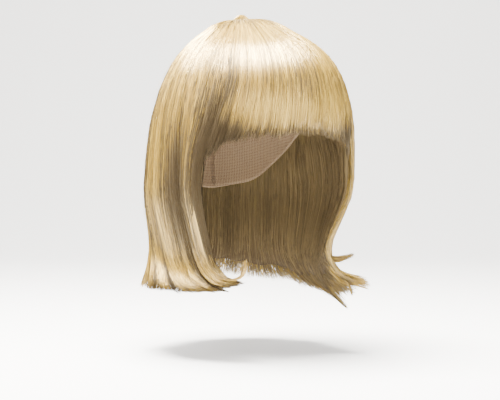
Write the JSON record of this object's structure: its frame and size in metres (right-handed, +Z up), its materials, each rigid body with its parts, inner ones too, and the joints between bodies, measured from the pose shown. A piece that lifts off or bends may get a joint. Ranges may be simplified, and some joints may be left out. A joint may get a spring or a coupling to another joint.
{
  "type": "short wig",
  "caption": "Chin-length bob wig with a full blunt fringe, a crown whorl, turned-in near side and flicked-out far ends on a fitted cap.",
  "frame": {"origin": "inside of the cap where the top of the head touches it", "axes": "+Z up, the wearer faces -Y, +X is the wearer's left"},
  "size_m": [0.2056, 0.2285, 0.2887],
  "materials": {
    "hair": "glossy synthetic fibre, pale blond with ash streaks",
    "cap_net": "plain fine stretch net, matt"
  },
  "bodies": {
    "root": {"cap": "cap_net", "crown_whorl": "hair", "fringe": "hair", "front_lock_right": "hair", "side_hair_right": "hair", "back_hair_right": "hair", "back_hair_left": "hair", "side_hair_left": "hair", "front_lock_left": "hair"}
  },
  "joints": []
}
